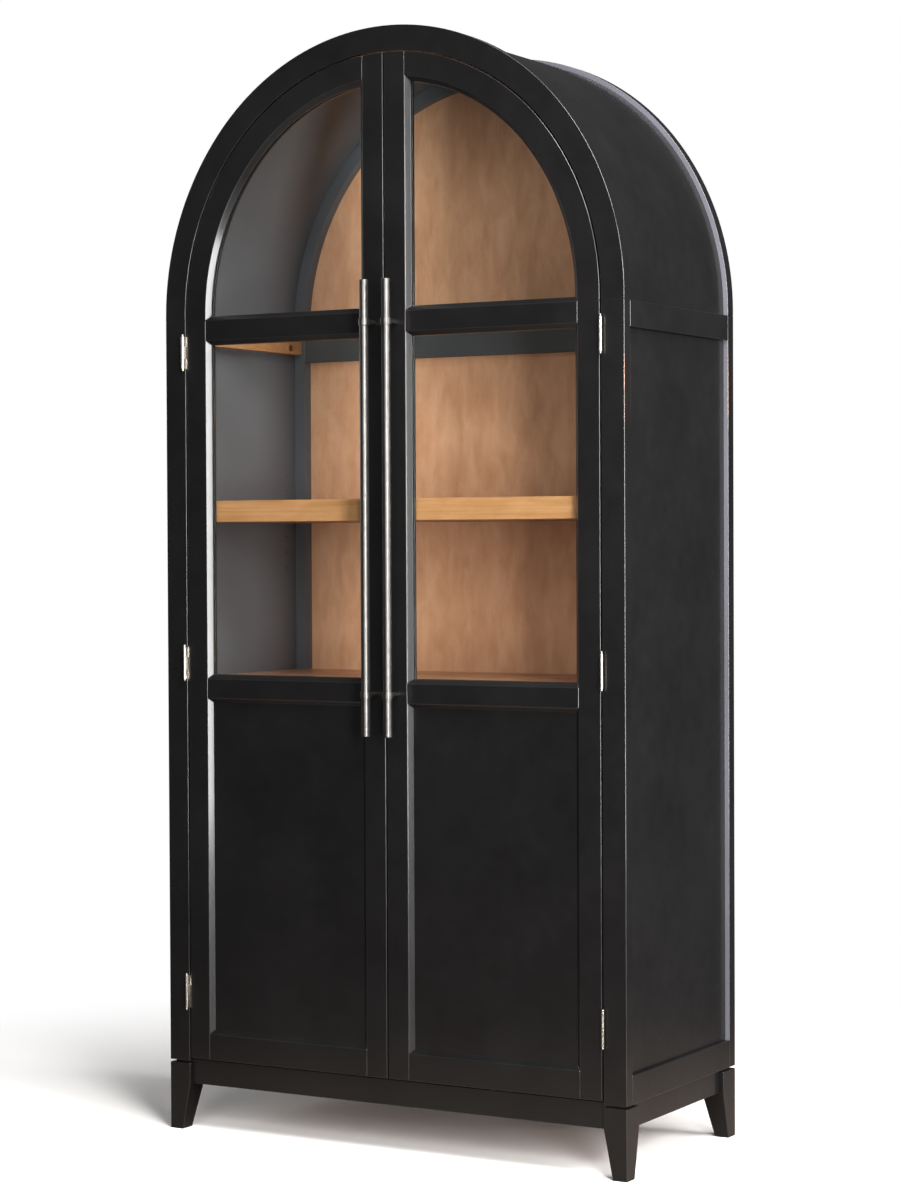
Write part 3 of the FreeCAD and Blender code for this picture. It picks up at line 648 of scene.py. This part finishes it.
# ---- boards and shelves -----------------------------------------------
for node in ("back_panel_upper", "back_panel_lower"):
    frame["nodes"][node].data.materials[0] = VENEER
for node in ("deck", "bottom_board"):
    eased(node, BOARD_ARRIS, (FLOOR_VENEER,))
for node in ("display_shelf", "cupboard_shelf"):
    eased(node, BOARD_ARRIS, (SHELF_WOOD,))
eased("hood_cleats", BOARD_ARRIS, (SHELF_WOOD,))

# ---- the doors --------------------------------------------------------
for side, _ in SIDES:
    for part in ("hinge_stile", "meeting_stile", "arch_rail", "mid_rail", "lock_rail",
                 "bottom_rail"):
        eased("door_%s_%s" % (part, side), DOOR_ARRIS, (BLACK, RUBBED))
    for part in ("panel", "beads"):
        eased("door_%s_%s" % (part, side), DOOR_ARRIS, (BLACK,))
    for part in ("arch_glass", "window_glass"):
        frame["nodes"]["door_%s_%s" % (part, side)].data.materials[0] = GLASS

# ---- pulls ------------------------------------------------------------
for side, sign in SIDES:
    drawn_bar(side)
    pull_posts(side, sign)

# ---- hinges, screws and fittings --------------------------------------
eased("frame_hinge_leaves", RIM, (NICKEL,), on_hinge_rim, 2)
eased("hinge_pins", FITTING_ARRIS, (NICKEL,))
for side, sign in SIDES:
    eased("door_hinge_leaves_" + side, RIM, (NICKEL,), on_hinge_rim, 2)
    fixings = eased("door_fixings_" + side, FITTING_ARRIS, (ZINC,), is_arris, 2)
    cut_recesses(fixings, [((sign * (LEAF_X - LEAF_GAP), FRONT + depth, height), "X")
                           for depth, height in SCREW_PLACES]
                 + [((sign * PULL_X, FRONT + BOLT_FACE, height), "Y")
                    for height in POST_HEIGHTS])
screws = eased("frame_hinge_screws", FITTING_ARRIS, (ZINC,), is_arris, 2)
cut_recesses(screws, [((sign * (LEAF_X + LEAF_GAP), FRONT + depth, height), "X")
                      for depth, height in SCREW_PLACES for sign in (-1, 1)])
eased("shelf_supports", FITTING_ARRIS, (NICKEL,), is_arris, 2)
eased("hood_bolts", FITTING_ARRIS, (BRASS, BRONZE), on_bolt_rim, 2)
magnetic_catches()


# ---- floor, light and camera ------------------------------------------
FLOOR_RADIUS = 9.0
PAPER_REACH = 0.7               # the paper fades to white between these two circles
WHITE_REACH = 1.9
ROOM_GREY = 0.075               # how bright the white surround is as a source of light
EYE = (2.79276, -4.79255, 1.15783)
TURN, TILT, ROLL = 0.52501, QUARTER - 0.01992, -0.00457


def studio_floor():
    """Pale paper floor that fades to plain white away from the cabinet."""
    bpy.ops.mesh.primitive_circle_add(vertices=96, radius=FLOOR_RADIUS, fill_type="NGON")
    floor = bpy.context.object
    floor.name = "floor"
    material, tree = new_material("pale_paper")
    spot = add(tree, "ShaderNodeTexCoord").outputs["Object"]
    reach = add(tree, "ShaderNodeVectorMath", {0: spot}, operation="LENGTH")
    fade = add(tree, "ShaderNodeMapRange", {
        "Value": reach.outputs["Value"], "From Min": PAPER_REACH, "From Max": WHITE_REACH},
        interpolation_type="SMOOTHSTEP")
    seen = add(tree, "ShaderNodeLightPath")
    shade = add(tree, "ShaderNodeValToRGB", {"Fac": seen.outputs["Is Camera Ray"]},
                stops=((0.0, "#7b6f67"), (1.0, "#fdfaf7")))
    paper = add(tree, "ShaderNodeBsdfDiffuse", {"Color": shade.outputs["Color"]})
    shine = add(tree, "ShaderNodeMapRange", {"Value": seen.outputs["Is Camera Ray"],
                                             "To Min": ROOM_GREY, "To Max": 1.0})
    white = add(tree, "ShaderNodeEmission", {"Color": linear("#ffffff"),
                                             "Strength": shine.outputs["Result"]})
    both = add(tree, "ShaderNodeMixShader", {0: fade.outputs["Result"],
                                             1: paper.outputs["BSDF"],
                                             2: white.outputs["Emission"]})
    add(tree, "ShaderNodeOutputMaterial", {"Surface": both.outputs["Shader"]})
    floor.data.materials.append(material)


def softbox(name, azimuth, distance, height, width, tall, power, aim=1.0):
    """A rectangular softbox; azimuth 0 stands before the doors, 90 to their right."""
    turn = math.radians(azimuth)
    light = bpy.data.lights.new(name, "AREA")
    light.shape = "RECTANGLE"
    light.size = width
    light.size_y = tall
    light.energy = power
    lamp = bpy.data.objects.new(name, light)
    lamp.location = (distance * math.sin(turn), -distance * math.cos(turn), height)
    toward = Vector((0, 0, aim)) - lamp.location
    lamp.rotation_euler = toward.to_track_quat("-Z", "Y").to_euler()
    bpy.context.scene.collection.objects.link(lamp)


def studio_world():
    """White to the eye, dim grey as a source, so the lacquer stays black."""
    world = bpy.data.worlds.new("studio")
    world.use_nodes = True
    tree = world.node_tree
    tree.nodes.clear()
    seen = add(tree, "ShaderNodeLightPath")
    room = add(tree, "ShaderNodeBackground", {"Color": linear("#e9ebef"), "Strength": ROOM_GREY})
    sheet = add(tree, "ShaderNodeBackground", {"Color": linear("#ffffff"), "Strength": 1.0})
    both = add(tree, "ShaderNodeMixShader", {0: seen.outputs["Is Camera Ray"],
                                             1: room.outputs["Background"],
                                             2: sheet.outputs["Background"]})
    add(tree, "ShaderNodeOutputWorld", {"Surface": both.outputs["Shader"]})
    bpy.context.scene.world = world


studio_floor()
studio_world()
softbox("high_softbox", 54, 2.6, 3.9, 2.0, 2.0, 265)
softbox("key_softbox", 45.5, 4.0, 1.3, 0.8, 2.3, 215)
softbox("front_softbox", 13, 4.0, 1.7, 1.1, 3.0, 66)
softbox("side_softbox", 92, 4.0, 1.3, 2.2, 2.2, 145)
softbox("high_side_softbox", 92, 4.0, 2.8, 2.2, 0.9, 112)
softbox("left_softbox", -90, 4.0, 2.2, 1.0, 2.2, 35)
softbox("top_softbox", 90, 0.6, 4.2, 1.9, 1.9, 42, aim=0.0)

camera = bpy.data.objects.new("camera", bpy.data.cameras.new("camera"))
camera.data.lens = 85.07
camera.data.sensor_width = 36.0
camera.data.clip_end = 60.0
camera.matrix_world = (Matrix.Translation(EYE)
                       @ Matrix.Rotation(TURN, 4, "Z") @ Matrix.Rotation(TILT, 4, "X")
                       @ Matrix.Rotation(ROLL, 4, "Z"))
bpy.context.scene.collection.objects.link(camera)
bpy.context.scene.camera = camera
bpy.context.scene.view_settings.view_transform = "Standard"
